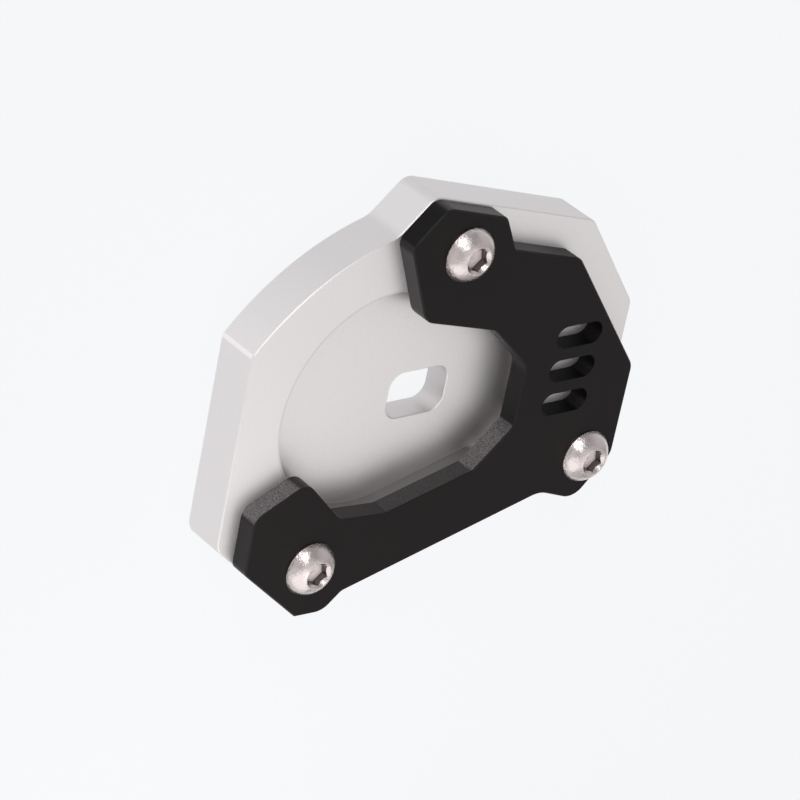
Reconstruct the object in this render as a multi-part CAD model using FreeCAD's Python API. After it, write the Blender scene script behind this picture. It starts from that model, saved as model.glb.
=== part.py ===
"""Enlarger for the foot of a motorbike's side stand.

A thick aluminium plate lies on the ground. The stand's foot sits in a shallow pocket in its top,
and a flat black clamp plate, shaped like a horseshoe, is screwed down over the rim of the foot
by three button-head socket screws.

Millimetres, +Z up. The ground face is z = 0, and the origin is on the axis of the oblong hole in
the pocket's floor. +X is along that hole, and the horseshoe opens towards -X.

Corners are given as (x, y, radius) where the two sides would cross, clockwise seen from above.
"""
import FreeCAD
import Part
import math
import os

from FreeCAD import Vector

# Plates
BASE_THICKNESS = 9.0
CLAMP_THICKNESS = 4.0
BASE_EDGE_BREAK = 0.2
CLAMP_EDGE_BREAK = 0.25

# How far the plates reach from the origin
BASE_LEFT = -42.7
CLAMP_LEFT = -38.7
RIGHT = 45.6
TOP_LOBE = 42.1
BOTTOM_LOBE = -37.7
CLAMP_INSET = 0.4
OPENING_RIGHT = 18.5

# Steps down from the top lobe's highest corner, and up from the bottom lobe's lowest
SHOULDER_DROP = 6.8
LOBE_SLOPE_DROP = 4.2
LOBE_FOOT_DROP = 11.1
BOTTOM_STEP_RISE = 3.4

# Lower edge, where the two plates lie flush, from the right lobe to the left lobe
SHARED_CORNERS = [
    (RIGHT, -17.7, 3.0),
    (38.3, -26.2, 4.0),
    (29.2, -22.9, 6.0),
    (-15.3, BOTTOM_LOBE + BOTTOM_STEP_RISE, 2.0),
    (-19.0, BOTTOM_LOBE, 4.0),
    (-25.3, BOTTOM_LOBE + 0.3, 1.0),
]

# Rest of the base plate, from the lower left round to the right side; its upper left is bowed
BASE_CORNERS = [
    (BASE_LEFT, -22.1, 4.0),
    (BASE_LEFT, 16.6, 1.5),
    (-15.0, TOP_LOBE - SHOULDER_DROP, 5.0),
    (-8.2, TOP_LOBE, 3.0),
    (31.3, 31.6, 3.0),
    (RIGHT, 12.6, 2.0),
]
BOW_START = 1
BOW_RISE = 2.7

# Rest of the clamp plate: left lobe, opening, top lobe and slanted side
CLAMP_CORNERS = [
    (CLAMP_LEFT, -25.7, 2.0),
    (CLAMP_LEFT, -14.3, 3.0),
    (-28.1, -9.0, 3.2),
    (-19.1, -18.4, 3.0),
    (-8.5, -19.3, 2.0),
    (10.7, -14.4, 1.5),
    (OPENING_RIGHT, -6.8, 2.0),
    (OPENING_RIGHT, 5.9, 4.0),
    (8.9, 14.8, 3.0),
    (-8.4, 19.4, 4.0),
    (-15.0, TOP_LOBE - SHOULDER_DROP - CLAMP_INSET, 2.5),
    (-8.3, TOP_LOBE - CLAMP_INSET, 3.0),
    (5.9, TOP_LOBE - LOBE_SLOPE_DROP, 2.0),
    (9.5, TOP_LOBE - LOBE_FOOT_DROP, 1.5),
    (26.1, 26.6, 3.0),
    (RIGHT, 1.3, 3.0),
]

# Pocket for the stand's foot: a circle whose sides taper in as they run under the clamp plate
POCKET_DEPTH = 3.5
POCKET_X = -11.0
POCKET_Y = 1.7
POCKET_RADIUS = 22.2
POCKET_TAPER = 15.0
POCKET_RIGHT = 23.5
POCKET_CORNER_RADIUS = 7.0
POCKET_EDGE_BREAK = 0.2

# Oblong hole with rounded corners through the pocket's floor
HOLE_LENGTH = 13.3
HOLE_WIDTH = 9.3
HOLE_CORNER_RADIUS = 3.0
HOLE_EDGE_BREAK = 0.15

# Row of equal slots through the clamp plate
SLOT_COUNT = 3
SLOT_LENGTH = 11.0
SLOT_WIDTH = 4.6
SLOT_PITCH = 7.0
SLOT_ROW_X = 30.0
SLOT_ROW_Y = 3.3

# M6 button-head socket screws, 12 mm long, with a 4 mm hexagonal socket
TOP_SCREW_X = -1.7
TOP_SCREW_DROP = 10.2
LEFT_SCREW_X = -24.2
LEFT_SCREW_RISE = 10.4
RIGHT_SCREW_INSET = 7.2
RIGHT_SCREW_Y = -16.7
SCREW_PLACES = [
    Vector(TOP_SCREW_X, TOP_LOBE - TOP_SCREW_DROP, 0),
    Vector(LEFT_SCREW_X, BOTTOM_LOBE + LEFT_SCREW_RISE, 0),
    Vector(RIGHT - RIGHT_SCREW_INSET, RIGHT_SCREW_Y, 0),
]
SCREW_DIAMETER = 6.0
SCREW_LENGTH = 12.0
SCREW_TIP_CHAMFER = 0.8
HEAD_DIAMETER = 10.5
HEAD_HEIGHT = 3.0
HEAD_RIM_HEIGHT = 0.3
HEAD_FLAT_DIAMETER = 5.5
HEAD_DOME_BULGE = 0.4
SOCKET_WIDTH = 4.0
SOCKET_DEPTH = 2.0
SOCKET_MOUTH_DIAMETER = 5.2
SOCKET_TURN = 42.0
TAPPED_HOLE_CLEARANCE = 0.05
CLAMP_HOLE_CLEARANCE = 0.3
SCREW_HOLE_EDGE_BREAK = 0.4

# How far a cutting tool reaches past the face it opens
REACH = 2.0


def turned(degrees, length):
    """Vector in the plates' plane, turned from +X."""
    angle = math.radians(degrees)
    return Vector(math.cos(angle), math.sin(angle), 0) * length


def level_edges(solid, height, tool=None):
    """Edges that lie level at a height, and of those only the ones on a cutting tool if given."""
    found = []
    for edge in solid.Edges:
        box = edge.BoundBox
        level = abs(box.ZMin - height) < 1e-5 and abs(box.ZMax - height) < 1e-5
        middle = Part.Vertex(edge.valueAt((edge.FirstParameter + edge.LastParameter) / 2))
        if level and (tool is None or tool.distToShape(middle)[0] < 1e-5):
            found.append(edge)
    return found


def corner_edges(solid, x, y):
    """Upright edges of a solid at a corner."""
    place = Vector(x, y, 0)
    return [
        edge for edge in solid.Edges
        if all(place.distanceToPoint(Vector(v.X, v.Y, 0)) < 1e-5 for v in edge.Vertexes)
    ]


def prism(edges, bottom, top):
    """Upright solid between two heights, from the edges of its outline."""
    solid = Part.Face(Part.Wire(edges)).extrude(Vector(0, 0, top - bottom))
    solid.translate(Vector(0, 0, bottom))
    return solid


def plate(corners, bottom, top, edge_break, both_faces=False, bow_start=None):
    """Plate with rounded corners and broken upper edges; one side may be bowed."""
    edges = []
    for index, start in enumerate(corners):
        end = corners[(index + 1) % len(corners)]
        start_point = Vector(start[0], start[1], 0)
        end_point = Vector(end[0], end[1], 0)
        if index == bow_start:
            side = end_point - start_point
            outward = Vector(-side.y, side.x, 0).normalize()
            middle = (start_point + end_point) / 2 + outward * BOW_RISE
            edges.append(Part.Arc(start_point, middle, end_point).toShape())
        else:
            edges.append(Part.LineSegment(start_point, end_point).toShape())
    solid = prism(edges, bottom, top)
    for x, y, radius in corners:
        solid = solid.makeFillet(radius, corner_edges(solid, x, y))
    edges = level_edges(solid, top) + (level_edges(solid, bottom) if both_faces else [])
    return solid.makeChamfer(edge_break, edges)


def revolved(points):
    """Solid turned about the Z axis from a profile of (radius, height) points."""
    vectors = [Vector(radius, 0, height) for radius, height in points]
    face = Part.Face(Part.makePolygon(vectors + vectors[:1]))
    return face.revolve(Vector(0, 0, 0), Vector(0, 0, 1), 360)


def screw_hole(place, radius, bottom, top):
    """Cutter for a screw hole through a plate, which also breaks both of the hole's edges."""
    wide = radius + SCREW_HOLE_EDGE_BREAK + REACH
    cutter = revolved([
        (0, bottom - REACH),
        (wide, bottom - REACH),
        (radius, bottom + SCREW_HOLE_EDGE_BREAK),
        (radius, top - SCREW_HOLE_EDGE_BREAK),
        (wide, top + REACH),
        (0, top + REACH),
    ])
    cutter.translate(place)
    return cutter


def pocket_cutter():
    """Cutter for the pocket, from its floor to past the base plate's top."""
    centre = Vector(POCKET_X, POCKET_Y, 0)
    upper_touch = centre + turned(90 - POCKET_TAPER, POCKET_RADIUS)
    lower_touch = centre + turned(POCKET_TAPER - 90, POCKET_RADIUS)
    run = POCKET_RIGHT - upper_touch.x
    fall = run * math.tan(math.radians(POCKET_TAPER))
    upper_corner = upper_touch + Vector(run, -fall, 0)
    lower_corner = lower_touch + Vector(run, fall, 0)
    far_left = centre - Vector(POCKET_RADIUS, 0, 0)
    floor = BASE_THICKNESS - POCKET_DEPTH
    solid = prism([
        Part.Arc(lower_touch, far_left, upper_touch).toShape(),
        Part.LineSegment(upper_touch, upper_corner).toShape(),
        Part.LineSegment(upper_corner, lower_corner).toShape(),
        Part.LineSegment(lower_corner, lower_touch).toShape(),
    ], floor, BASE_THICKNESS + REACH)
    for corner in (upper_corner, lower_corner):
        solid = solid.makeFillet(POCKET_CORNER_RADIUS, corner_edges(solid, corner.x, corner.y))
    return solid


def hole_cutter():
    """Cutter for the oblong hole, from under the base plate to past the pocket's floor."""
    height = BASE_THICKNESS + 2 * REACH
    x, y = HOLE_LENGTH / 2, HOLE_WIDTH / 2
    solid = Part.makeBox(HOLE_LENGTH, HOLE_WIDTH, height, Vector(-x, -y, -REACH))
    upright = [edge for edge in solid.Edges if edge.BoundBox.ZLength > REACH]
    return solid.makeFillet(HOLE_CORNER_RADIUS, upright)


def slot_cutter(centre):
    """Cutter for a slot along X with round ends, through the clamp plate."""
    half = (SLOT_LENGTH - SLOT_WIDTH) / 2
    width = Vector(0, SLOT_WIDTH / 2, 0)
    left, right = centre - Vector(half, 0, 0), centre + Vector(half, 0, 0)
    return prism([
        Part.LineSegment(left + width, right + width).toShape(),
        Part.Arc(right + width, right + Vector(SLOT_WIDTH / 2, 0, 0), right - width).toShape(),
        Part.LineSegment(right - width, left - width).toShape(),
        Part.Arc(left - width, left - Vector(SLOT_WIDTH / 2, 0, 0), left + width).toShape(),
    ], BASE_THICKNESS - REACH, BASE_THICKNESS + CLAMP_THICKNESS + REACH)


def make_base_plate():
    corners = BASE_CORNERS + SHARED_CORNERS
    base = plate(corners, 0, BASE_THICKNESS, BASE_EDGE_BREAK, both_faces=True, bow_start=BOW_START)

    pocket = pocket_cutter()
    base = base.cut(pocket)
    base = base.makeChamfer(POCKET_EDGE_BREAK, level_edges(base, BASE_THICKNESS, pocket))

    hole = hole_cutter()
    base = base.cut(hole)
    floor = BASE_THICKNESS - POCKET_DEPTH
    rims = level_edges(base, 0, hole) + level_edges(base, floor, hole)
    base = base.makeChamfer(HOLE_EDGE_BREAK, rims)

    radius = SCREW_DIAMETER / 2 + TAPPED_HOLE_CLEARANCE
    for place in SCREW_PLACES:
        base = base.cut(screw_hole(place, radius, 0, BASE_THICKNESS))
    return base


def make_clamp_plate():
    bottom = BASE_THICKNESS
    top = bottom + CLAMP_THICKNESS
    clamp = plate(SHARED_CORNERS + CLAMP_CORNERS, bottom, top, CLAMP_EDGE_BREAK)
    radius = SCREW_DIAMETER / 2 + CLAMP_HOLE_CLEARANCE
    for place in SCREW_PLACES:
        clamp = clamp.cut(screw_hole(place, radius, bottom, top))
    for index in range(SLOT_COUNT):
        rise = (index - (SLOT_COUNT - 1) / 2) * SLOT_PITCH
        clamp = clamp.cut(slot_cutter(Vector(SLOT_ROW_X, SLOT_ROW_Y + rise, 0)))
    return clamp


def make_screw(place):
    """Button-head screw, with the underside of its head on the clamp plate."""
    shank = SCREW_DIAMETER / 2
    screw = revolved([
        (0, -SCREW_LENGTH),
        (shank - SCREW_TIP_CHAMFER, -SCREW_LENGTH),
        (shank, SCREW_TIP_CHAMFER - SCREW_LENGTH),
        (shank, HEAD_RIM_HEIGHT),
        (0, HEAD_RIM_HEIGHT),
    ])

    seat = Vector(HEAD_DIAMETER / 2, 0, 0)
    rim = Vector(HEAD_DIAMETER / 2, 0, HEAD_RIM_HEIGHT)
    flat = Vector(HEAD_FLAT_DIAMETER / 2, 0, HEAD_HEIGHT)
    across = (flat - rim).normalize()
    dome = (rim + flat) / 2 + Vector(across.z, 0, -across.x) * HEAD_DOME_BULGE
    profile = Part.Wire([
        Part.LineSegment(Vector(0, 0, 0), seat).toShape(),
        Part.LineSegment(seat, rim).toShape(),
        Part.Arc(rim, dome, flat).toShape(),
        Part.LineSegment(flat, Vector(0, 0, HEAD_HEIGHT)).toShape(),
        Part.LineSegment(Vector(0, 0, HEAD_HEIGHT), Vector(0, 0, 0)).toShape(),
    ])
    screw = screw.fuse(Part.Face(profile).revolve(Vector(0, 0, 0), Vector(0, 0, 1), 360))

    corner_radius = SOCKET_WIDTH / 2 / math.cos(math.radians(30))
    corners = [turned(SOCKET_TURN + 60 * index, corner_radius) for index in range(6)]
    hexagon = Part.Face(Part.makePolygon(corners + corners[:1]))
    socket = hexagon.extrude(Vector(0, 0, SOCKET_DEPTH + REACH))
    socket.translate(Vector(0, 0, HEAD_HEIGHT - SOCKET_DEPTH))
    mouth = SOCKET_MOUTH_DIAMETER / 2
    # The cone runs on below the socket's flat floor, as the point of the drill leaves it
    countersink = revolved([
        (0, HEAD_HEIGHT - mouth),
        (mouth + REACH, HEAD_HEIGHT + REACH),
        (0, HEAD_HEIGHT + REACH),
    ])
    screw = screw.cut(socket).cut(countersink).removeSplitter()
    screw.translate(place + Vector(0, 0, BASE_THICKNESS + CLAMP_THICKNESS))
    return screw


os.makedirs("parts", exist_ok=True)

nodes = {
    "base_plate": make_base_plate(),
    "clamp_plate": make_clamp_plate(),
    "clamp_screws": Part.makeCompound([make_screw(place) for place in SCREW_PLACES]),
}
for name, shape in nodes.items():
    shape.exportStep("parts/" + name + ".step")
    box = shape.BoundBox
    print(name, len(shape.Solids), "solids, valid", shape.isValid(), "volume", round(shape.Volume))
    print("  x", round(box.XMin, 2), round(box.XMax, 2))
    print("  y", round(box.YMin, 2), round(box.YMax, 2))
    print("  z", round(box.ZMin, 2), round(box.ZMax, 2))
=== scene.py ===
"""Studio picture of the foot enlarger: silver plate, black clamp plate and three socket screws."""
import math

import bpy
from mathutils import Matrix, Vector

MM = 0.001

# Camera, in millimetres and degrees: a long lens from the upper left, turned well over to one side
CAMERA_PLACE = Vector((-398.9, 299.0, 422.0))
CAMERA_TARGET = Vector((-4.6, -0.2, 6.5))
CAMERA_ROLL = 127.7
CAMERA_LENS = 163.1
CAMERA_SENSOR = 36

# Nearest and farthest that the camera sees, in metres
CAMERA_REACH = (0.01, 20)

# Colours, linear
SILVER = (0.83, 0.795, 0.79)
# The black clamp's sides are painted lighter than its top: painted reflection
BLACK_TOP = (0.0080, 0.0056, 0.0054)
BLACK_SIDE = (0.039, 0.036, 0.0365)
STEEL = (0.70, 0.62, 0.61)
BACKGROUND = (0.93, 0.945, 0.965)
FLOOR_COLOUR = (0.9, 0.9, 0.9)

# Noise patterns: lumps to a millimetre, number of finer layers, and strength of each finer layer
SILVER_GRAIN = (3.0, 2.0, 0.6)
SILVER_CLOUD = (0.05, 2.0, 0.5)
BLACK_GRAIN = (3.5, 2.0, 0.6)
STEEL_RIPPLE = (0.9, 4.0, 0.65)
STEEL_GRAIN = (3.0, 3.0, 0.6)

# Noise values that count as the lowest and the highest, and the same for the black sides' speckles
NOISE_ENDS = (0.3, 0.7)
SPECKLE_ENDS = (0.35, 0.65)

# Depth of the bumps, in millimetres
SILVER_BUMP = 0.025
BLACK_BUMP = 0.008
STEEL_BUMP = 0.12

# How much of its brightness a colour loses where its grain is darkest
SILVER_TINT = 0.03
STEEL_TINT = 0.12

# Gloss: roughness, from the lowest to the highest where it varies, and the black's specular level
SILVER_ROUGHNESS = (0.50, 0.54)
BLACK_ROUGHNESS = 0.42
BLACK_SPECULAR = 0.12
STEEL_ROUGHNESS = (0.16, 0.32)
SOCKET_FLOOR_ROUGHNESS = 0.8

# Share of the material's colour that single places have, all painted light: painted shade where below
# 1, and a painted highlight or painted light where above 1
POCKET_WALL_SHARE = 0.4
POCKET_RIM_SHARE = 0.87
HOLE_WALL_SHARE = 0.8
CORNER_HIGHLIGHT_SHARE = 1.18
UPPER_SIDES_SHARE = 0.88
LEFT_SIDES_SHARE = 0.6
SLOT_SIDES_SHARE = 0.15
SOCKET_WALL_SHARE = 0.24
SOCKET_FLOOR_SHARE = 1.4

# Slanted sides of the clamp plate, greyed by painted light: share at their lower end and at their
# upper end, and share of that in the darkest and in the palest speckles
GREYED_SHARES = (4.6, 0.1)
SPECKLE_SHARES = (0.45, 1.2)

# Pocket for the stand's foot, in millimetres: its middle, and its round rim in the plate's top
POCKET_MIDDLE = (-11.0, 1.7, 7.0)
RIM_MIDDLE = (-11.0, 1.7, 9.0)

# Where masks start and end, in millimetres: distances from those points, then places on an axis
POCKET_EDGE = (30.5, 31.4)
RIM_LINE_INNER = (22.35, 22.45)
RIM_LINE_OUTER = (22.7, 22.9)
POCKET_FLOOR_Z = (5.3, 5.5)
PLATE_TOP_Z = (8.9, 8.95)
SOCKET_BOTTOM_Z = (13.4, 13.8)
SOCKET_FLOOR_Z = (14.1, 14.3)
GREYED_Y = (-8, 20)
SLOTS_X = (16, 22)

# Faces that get a look of their own, as (azimuth and elevation of the way they look, inner and
# outer angle of their mask's edge), in degrees from +X and up from the floor
LEVEL_IN_POCKET = (0, 90, 60, 84.3)
LEFT_IN_HOLE = (180, 0, 18.2, 60)
CORNER_HIGHLIGHT = (160, 0, 8.1, 19.1)
UPPER_SIDES = (90, 0, 28.4, 48.7)
CLAMP_TOP = (0, 90, 25.8, 72.5)
SLANTED_SIDES = (135, 0, 21.6, 32.9)
LEFT_SIDES = (180, 0, 8.1, 21.6)
LEVEL_IN_SOCKET = (0, 90, 66.4, 84.3)
SOCKET_FLOOR = (0, 90, 47.2, 53.1)

# The room: an even level, and brighter patches as (azimuth, elevation, level, inner and outer
# angle of the patch's soft edge), in degrees as above
ROOM_LEVEL = 0.19
ROOM_PATCHES = [
    (0, 85, 0.57, 8, 40),
    (165, 8, 0.34, 10, 50),
    (235, 35, 0.40, 10, 70),
    (320, 60, 0.90, 8, 34),
    (27, 17, 0.34, 5, 40),
]

# Square softboxes that face the plate, as (name, azimuth and elevation in degrees, distance and
# side in metres, power in watts)
SOFTBOXES = [
    ("softbox_left", 120, 24, 1.0, 0.45, 2.5),
    ("softbox_high", 126, 50, 1.0, 0.2, 0.7),
    ("softbox_near", 239, 39, 0.112, 0.12, 0.032),
]

# Share of the white background that is seen: the rest is the floor's own light, or the room
FLOOR_WHITE = 0.92
ROOM_WHITE = 1.0
ROOM_WHITE_REFLECTED = 0.3

# The floor, in metres: its side, and how far it lies below the plate
FLOOR_SIDE = 6.0
FLOOR_DROP = 0.0001

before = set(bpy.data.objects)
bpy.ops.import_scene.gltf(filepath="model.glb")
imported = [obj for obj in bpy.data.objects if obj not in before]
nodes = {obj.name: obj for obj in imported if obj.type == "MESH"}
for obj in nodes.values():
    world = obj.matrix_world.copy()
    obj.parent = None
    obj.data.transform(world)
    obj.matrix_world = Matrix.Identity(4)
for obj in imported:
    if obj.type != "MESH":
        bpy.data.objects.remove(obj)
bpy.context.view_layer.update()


def direction(azimuth, elevation):
    """Unit vector from two angles in degrees: round from +X, and up from the floor."""
    turn = math.radians(azimuth)
    lift = math.radians(elevation)
    return Vector((math.cos(lift) * math.cos(turn), math.cos(lift) * math.sin(turn), math.sin(lift)))


def new_material(name):
    """Material with its node tree, its shader and a shared texture position in millimetres."""
    material = bpy.data.materials.new(name)
    material.use_nodes = True
    tree = material.node_tree
    shader = tree.nodes["Principled BSDF"]
    place = tree.nodes.new("ShaderNodeTexCoord")
    scale = tree.nodes.new("ShaderNodeVectorMath")
    scale.operation = "SCALE"
    scale.inputs["Scale"].default_value = 1 / MM
    tree.links.new(place.outputs["Object"], scale.inputs[0])
    return material, tree, shader, scale.outputs["Vector"]


def noise(tree, place, per_mm, detail, roughness):
    """Value of a noise pattern at a place."""
    node = tree.nodes.new("ShaderNodeTexNoise")
    node.inputs["Scale"].default_value = per_mm
    node.inputs["Detail"].default_value = detail
    node.inputs["Roughness"].default_value = roughness
    tree.links.new(place, node.inputs["Vector"])
    return node.outputs["Fac"]


def spread(tree, value, low, high, ends=NOISE_ENDS, soft=False):
    """Maps what lies between two ends onto a range, eased in and out if soft."""
    node = tree.nodes.new("ShaderNodeMapRange")
    node.interpolation_type = "SMOOTHSTEP" if soft else "LINEAR"
    node.inputs["From Min"].default_value = ends[0]
    node.inputs["From Max"].default_value = ends[1]
    node.inputs["To Min"].default_value = low
    node.inputs["To Max"].default_value = high
    tree.links.new(value, node.inputs["Value"])
    return node.outputs["Result"]


def past(tree, value, limits):
    """Mask of what lies past a limit, which comes in between two values."""
    return spread(tree, value, 0, 1, limits)


def short_of(tree, value, limits):
    """Mask of what lies short of a limit, which fades out between two values."""
    return spread(tree, value, 1, 0, limits)


def masked(tree, mask, inside, outside=1):
    """One value inside a mask, and another outside it."""
    return spread(tree, mask, outside, inside, (0, 1))


def combine(tree, operation, first, second):
    """Result of a sum on two values, each a node's output or a number."""
    node = tree.nodes.new("ShaderNodeMath")
    node.operation = operation
    for socket, value in zip(node.inputs, (first, second)):
        if isinstance(value, (int, float)):
            socket.default_value = value
        else:
            tree.links.new(value, socket)
    return node.outputs["Value"]


def product(tree, first, *others):
    """All the values multiplied."""
    for other in others:
        first = combine(tree, "MULTIPLY", first, other)
    return first


def scaled(tree, colour, share):
    """Colour times a value."""
    node = tree.nodes.new("ShaderNodeVectorMath")
    node.operation = "SCALE"
    tree.links.new(colour, node.inputs[0])
    tree.links.new(share, node.inputs["Scale"])
    return node.outputs["Vector"]


def tint(tree, value, colour, depth):
    """Colour that a noise value darkens by up to a share of its brightness."""
    node = tree.nodes.new("ShaderNodeMix")
    node.data_type = "RGBA"
    node.inputs["A"].default_value = (*[c * (1 - depth) for c in colour], 1)
    node.inputs["B"].default_value = (*colour, 1)
    tree.links.new(value, node.inputs["Factor"])
    return node.outputs["Result"]


def axis_value(tree, place, axis):
    """Position along an axis, in millimetres."""
    node = tree.nodes.new("ShaderNodeSeparateXYZ")
    tree.links.new(place, node.inputs[0])
    return node.outputs[axis]


def distance(tree, place, point):
    """Distance from a point, in millimetres."""
    node = tree.nodes.new("ShaderNodeVectorMath")
    node.operation = "DISTANCE"
    node.inputs[1].default_value = point
    tree.links.new(place, node.inputs[0])
    return node.outputs["Value"]


def towards(tree, vector, azimuth, elevation, inner, outer, soft=False):
    """Mask of what points one way: full within an inner angle of it, and none past an outer one."""
    node = tree.nodes.new("ShaderNodeVectorMath")
    node.operation = "DOT_PRODUCT"
    node.inputs[1].default_value = direction(azimuth, elevation)
    tree.links.new(vector, node.inputs[0])
    limits = (math.cos(math.radians(outer)), math.cos(math.radians(inner)))
    return spread(tree, node.outputs["Value"], 0, 1, limits, soft)


def facing(tree, faces, soft=False):
    """Mask of the faces that look one way."""
    coordinates = tree.nodes.new("ShaderNodeTexCoord")
    return towards(tree, coordinates.outputs["Normal"], *faces, soft=soft)


def bump(tree, shader, value, height_mm):
    """Bumps on the surface, up to a height."""
    node = tree.nodes.new("ShaderNodeBump")
    node.inputs["Distance"].default_value = height_mm * MM
    tree.links.new(value, node.inputs["Height"])
    tree.links.new(node.outputs["Normal"], shader.inputs["Normal"])


def clear_anodised(name):
    """Fine bead-blasted aluminium, clear anodised: a soft metal, with painted shade on the wall of the
    pocket.
    """
    material, tree, shader, place = new_material(name)
    grain = noise(tree, place, *SILVER_GRAIN)
    cloud = noise(tree, place, *SILVER_CLOUD)
    reach = distance(tree, place, POCKET_MIDDLE)
    height = axis_value(tree, place, "Z")
    colour = tint(tree, spread(tree, grain, 0, 1), SILVER, SILVER_TINT)

    # Wall of the pocket: painted shade in the recess
    inside = short_of(tree, reach, POCKET_EDGE)
    above = past(tree, height, POCKET_FLOOR_Z)
    upright = masked(tree, facing(tree, LEVEL_IN_POCKET), 0)
    pocket = product(tree, inside, above, upright)
    colour = scaled(tree, colour, masked(tree, pocket, POCKET_WALL_SHARE))

    # Wall of the oblong hole that faces -X, below the pocket's floor: painted shade in the recess
    below = combine(tree, "SUBTRACT", inside, above)
    hole = product(tree, below, facing(tree, LEFT_IN_HOLE))
    colour = scaled(tree, colour, masked(tree, hole, HOLE_WALL_SHARE))

    # A fine line of painted shade runs round the pocket's rim, on the plate's top
    rim = distance(tree, place, RIM_MIDDLE)
    line = product(tree, past(tree, rim, RIM_LINE_INNER), short_of(tree, rim, RIM_LINE_OUTER))
    on_top = product(tree, line, past(tree, height, PLATE_TOP_Z))
    colour = scaled(tree, colour, masked(tree, on_top, POCKET_RIM_SHARE))

    # Painted highlight on the left corner, and painted shade that makes the sides towards +Y a little
    # darker
    corner = product(tree, facing(tree, CORNER_HIGHLIGHT, soft=True), past(tree, reach, POCKET_EDGE))
    painted_highlight = masked(tree, corner, CORNER_HIGHLIGHT_SHARE)
    dull = masked(tree, facing(tree, UPPER_SIDES), UPPER_SIDES_SHARE)
    colour = scaled(tree, colour, product(tree, painted_highlight, dull))

    tree.links.new(colour, shader.inputs["Base Color"])
    tree.links.new(spread(tree, cloud, *SILVER_ROUGHNESS), shader.inputs["Roughness"])
    shader.inputs["Metallic"].default_value = 1
    bump(tree, shader, grain, SILVER_BUMP)
    return material


def black_anodised(name):
    """Black anodised aluminium: an even, deep top, and sides painted lighter as painted reflection,
    with grainy speckles and painted light on the slanted sides.
    """
    material, tree, shader, place = new_material(name)
    grain = noise(tree, place, *BLACK_GRAIN)

    # The slanted sides are grainy, and painted light makes them grey in the lower half and black above
    slanted = facing(tree, SLANTED_SIDES)
    painted_light = spread(tree, axis_value(tree, place, "Y"), *GREYED_SHARES, GREYED_Y)
    speckle = spread(tree, grain, *SPECKLE_SHARES, SPECKLE_ENDS)
    greyed = product(tree, painted_light, speckle, slanted)
    share = combine(tree, "ADD", greyed, masked(tree, slanted, 0))

    # Painted shade: the sides that face -X, and those of the slots, are darker
    left = masked(tree, facing(tree, LEFT_SIDES), LEFT_SIDES_SHARE)
    slots = masked(tree, past(tree, axis_value(tree, place, "X"), SLOTS_X), SLOT_SIDES_SHARE)
    share = product(tree, share, left, slots)

    # The sides' lighter black is painted reflection; the top keeps the deep black
    side = tree.nodes.new("ShaderNodeRGB")
    side.outputs["Color"].default_value = (*BLACK_SIDE, 1)
    mix = tree.nodes.new("ShaderNodeMix")
    mix.data_type = "RGBA"
    mix.inputs["B"].default_value = (*BLACK_TOP, 1)
    tree.links.new(facing(tree, CLAMP_TOP), mix.inputs["Factor"])
    tree.links.new(scaled(tree, side.outputs["Color"], share), mix.inputs["A"])
    tree.links.new(mix.outputs["Result"], shader.inputs["Base Color"])
    shader.inputs["Roughness"].default_value = BLACK_ROUGHNESS
    shader.inputs["Specular IOR Level"].default_value = BLACK_SPECULAR
    bump(tree, shader, grain, BLACK_BUMP)
    return material


def steel(name):
    """Bright stainless steel with the ripples left by forming; painted shade on the socket's walls,
    and a dull floor inside lightened by painted light.
    """
    material, tree, shader, place = new_material(name)
    ripple = noise(tree, place, *STEEL_RIPPLE)
    grain = noise(tree, place, *STEEL_GRAIN)
    height = axis_value(tree, place, "Z")
    colour = tint(tree, spread(tree, grain, 0, 1), STEEL, STEEL_TINT)

    # Walls of the socket, darkened as painted shade
    upright = masked(tree, facing(tree, LEVEL_IN_SOCKET), 0)
    wall = product(tree, past(tree, height, SOCKET_BOTTOM_Z), upright)
    colour = scaled(tree, colour, masked(tree, wall, SOCKET_WALL_SHARE))

    # The socket's floor is dull, shows its own colour rather than what it reflects, and is lightened
    # by painted light
    floor = product(tree, facing(tree, SOCKET_FLOOR), short_of(tree, height, SOCKET_FLOOR_Z))
    colour = scaled(tree, colour, masked(tree, floor, SOCKET_FLOOR_SHARE))
    polish = spread(tree, ripple, *STEEL_ROUGHNESS)
    dull = masked(tree, floor, SOCKET_FLOOR_ROUGHNESS, 0)

    tree.links.new(colour, shader.inputs["Base Color"])
    tree.links.new(combine(tree, "MAXIMUM", polish, dull), shader.inputs["Roughness"])
    tree.links.new(masked(tree, floor, 0), shader.inputs["Metallic"])
    bump(tree, shader, ripple, STEEL_BUMP)
    return material


def dress(node, material):
    """Gives a node of the frame its material."""
    mesh = nodes[node].data
    mesh.materials.clear()
    mesh.materials.append(material)


def background_share(tree, direct_share, reflected_share):
    """One share for camera and transmission rays, one for glossy rays, and none for the others."""
    path = tree.nodes.new("ShaderNodeLightPath")
    rays = combine(tree, "MAXIMUM", path.outputs["Is Camera Ray"], path.outputs["Is Transmission Ray"])
    direct = product(tree, rays, direct_share)
    reflected = product(tree, path.outputs["Is Glossy Ray"], reflected_share)
    return combine(tree, "MAXIMUM", direct, reflected)


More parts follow.
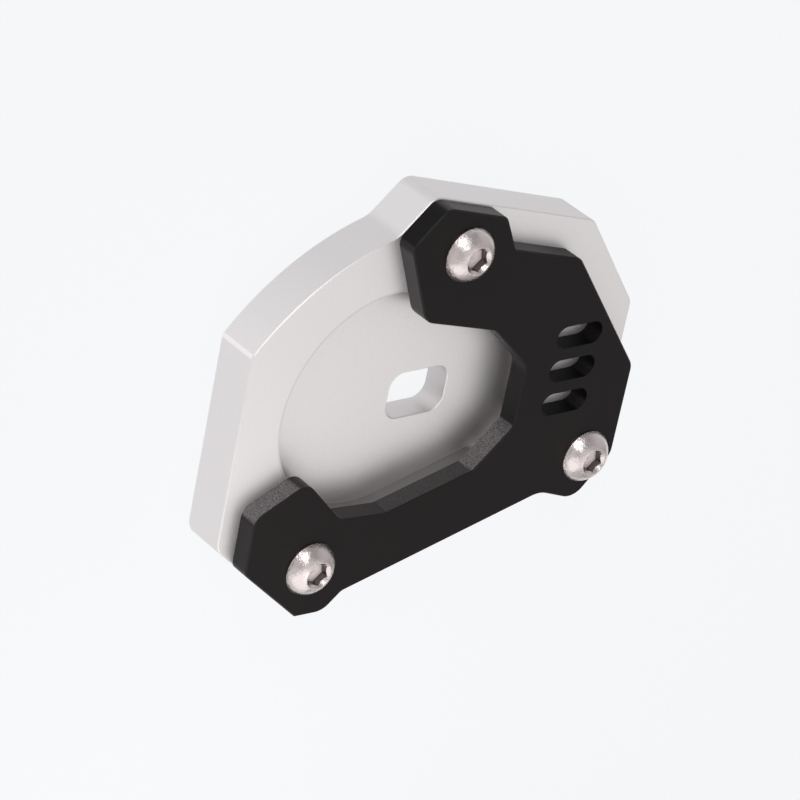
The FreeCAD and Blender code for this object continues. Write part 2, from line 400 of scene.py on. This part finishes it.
def make_floor():
    """Pale floor. The camera and reflections see it as near white, with the object's shadow."""
    bpy.ops.mesh.primitive_plane_add(size=FLOOR_SIDE, location=(0, 0, -FLOOR_DROP))
    floor = bpy.context.object
    floor.name = "floor"
    material = bpy.data.materials.new("floor")
    material.use_nodes = True
    tree = material.node_tree
    tree.nodes.clear()
    output = tree.nodes.new("ShaderNodeOutputMaterial")
    mix = tree.nodes.new("ShaderNodeMixShader")
    diffuse = tree.nodes.new("ShaderNodeBsdfDiffuse")
    glow = tree.nodes.new("ShaderNodeEmission")
    diffuse.inputs["Color"].default_value = (*FLOOR_COLOUR, 1)
    glow.inputs["Color"].default_value = (*BACKGROUND, 1)
    tree.links.new(background_share(tree, FLOOR_WHITE, FLOOR_WHITE), mix.inputs["Fac"])
    tree.links.new(diffuse.outputs["BSDF"], mix.inputs[1])
    tree.links.new(glow.outputs["Emission"], mix.inputs[2])
    tree.links.new(mix.outputs["Shader"], output.inputs["Surface"])
    floor.data.materials.append(material)


def make_world():
    """Soft light from a room, and a white background that reflections see in part."""
    world = bpy.data.worlds.new("studio")
    bpy.context.scene.world = world
    world.use_nodes = True
    tree = world.node_tree
    tree.nodes.clear()
    output = tree.nodes.new("ShaderNodeOutputWorld")
    mix = tree.nodes.new("ShaderNodeMixShader")
    room = tree.nodes.new("ShaderNodeBackground")
    white = tree.nodes.new("ShaderNodeBackground")
    look = tree.nodes.new("ShaderNodeTexCoord").outputs["Generated"]
    level = ROOM_LEVEL
    for azimuth, elevation, strength, inner, outer in ROOM_PATCHES:
        patch = towards(tree, look, azimuth, elevation, inner, outer, soft=True)
        level = combine(tree, "ADD", level, product(tree, patch, strength))
    room.inputs["Color"].default_value = (1, 1, 1, 1)
    tree.links.new(level, room.inputs["Strength"])
    white.inputs["Color"].default_value = (*BACKGROUND, 1)
    tree.links.new(background_share(tree, ROOM_WHITE, ROOM_WHITE_REFLECTED), mix.inputs["Fac"])
    tree.links.new(room.outputs["Background"], mix.inputs[1])
    tree.links.new(white.outputs["Background"], mix.inputs[2])
    tree.links.new(mix.outputs["Shader"], output.inputs["Surface"])


def make_softbox(name, azimuth, elevation, away, side, watts):
    """Square lamp that faces the plate and that the camera doesn't see."""
    light = bpy.data.lights.new(name, "AREA")
    light.shape = "SQUARE"
    light.size = side
    light.energy = watts
    piece = bpy.data.objects.new(name, light)
    bpy.context.collection.objects.link(piece)
    aim = direction(azimuth, elevation)
    piece.location = aim * away
    piece.rotation_euler = aim.to_track_quat("Z", "Y").to_euler()
    piece.visible_camera = False


def make_camera():
    """Camera at the photo's viewpoint."""
    data = bpy.data.cameras.new("camera")
    data.lens = CAMERA_LENS
    data.sensor_width = CAMERA_SENSOR
    data.clip_start, data.clip_end = CAMERA_REACH
    camera = bpy.data.objects.new("camera", data)
    bpy.context.collection.objects.link(camera)
    level = (CAMERA_TARGET - CAMERA_PLACE).to_track_quat("-Z", "Y").to_matrix().to_4x4()
    roll = Matrix.Rotation(math.radians(CAMERA_ROLL), 4, "Z")
    camera.matrix_world = Matrix.Translation(CAMERA_PLACE * MM) @ level @ roll
    bpy.context.scene.camera = camera


dress("base_plate", clear_anodised("clear_anodised"))
dress("clamp_plate", black_anodised("black_anodised"))
dress("clamp_screws", steel("stainless"))

make_floor()
make_world()
for softbox in SOFTBOXES:
    make_softbox(*softbox)
make_camera()

bpy.context.scene.view_settings.view_transform = "Standard"
